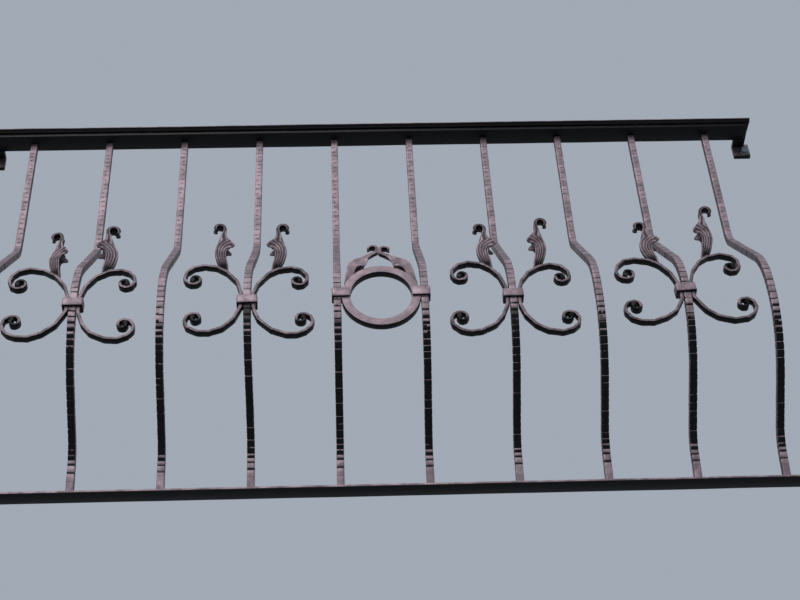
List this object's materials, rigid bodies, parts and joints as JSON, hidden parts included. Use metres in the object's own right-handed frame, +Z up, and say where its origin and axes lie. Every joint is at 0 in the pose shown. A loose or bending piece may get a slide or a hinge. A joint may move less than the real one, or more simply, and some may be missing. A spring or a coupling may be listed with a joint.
{
  "type": "juliet balcony",
  "caption": "Wrought iron juliet balcony with belly balusters, C-scrolls, leaf ornaments and a centre ring between a handrail and a bottom rail.",
  "frame": {"origin": "on the wall face of the lower left bracket's flange, behind the centre of its arm", "axes": "+X along the rails from left to right as seen from the street, +Y into the wall, +Z up"},
  "size_m": [1.438, 0.2013, 0.8569],
  "materials": {
    "rail": "forged iron, black, satin, with a rose copper patina brushed along the edges",
    "baluster": "hammered iron, black, with a rose copper patina brushed on its front",
    "scrollwork": "forged iron, black, with a rose copper patina brushed on its front",
    "leaf": "fluted iron, black in the flutes, rose copper patina on the ridges",
    "collar": "forged iron, black, with a rose copper patina brushed on its front",
    "bracket": "forged iron, black, satin, lightly brushed with rose"
  },
  "bodies": {
    "root": {"handrail_cap": "rail", "top_bar": "rail", "bottom_rail": "rail", "baluster_01": "baluster", "baluster_02": "baluster", "baluster_03": "baluster", "baluster_04": "baluster", "baluster_05": "baluster", "baluster_06": "baluster", "baluster_07": "baluster", "baluster_08": "baluster", "baluster_09": "baluster", "baluster_10": "baluster", "collar_02": "collar", "collar_04": "collar", "collar_07": "collar", "collar_09": "collar", "scroll_02_left": "scrollwork", "scroll_02_right": "scrollwork", "scroll_04_left": "scrollwork", "scroll_04_right": "scrollwork", "scroll_07_left": "scrollwork", "scroll_07_right": "scrollwork", "scroll_09_left": "scrollwork", "scroll_09_right": "scrollwork", "leaf_02_left": "leaf", "leaf_02_right": "leaf", "leaf_04_left": "leaf", "leaf_04_right": "leaf", "leaf_07_left": "leaf", "leaf_07_right": "leaf", "leaf_09_left": "leaf", "leaf_09_right": "leaf", "centre_ring": "scrollwork", "ring_clip_left": "collar", "ring_clip_right": "collar", "ring_leaf_left": "leaf", "ring_leaf_right": "leaf", "bracket_top_left": "bracket", "bracket_top_right": "bracket", "bracket_bottom_left": "bracket", "bracket_bottom_right": "bracket"}
  },
  "joints": []
}
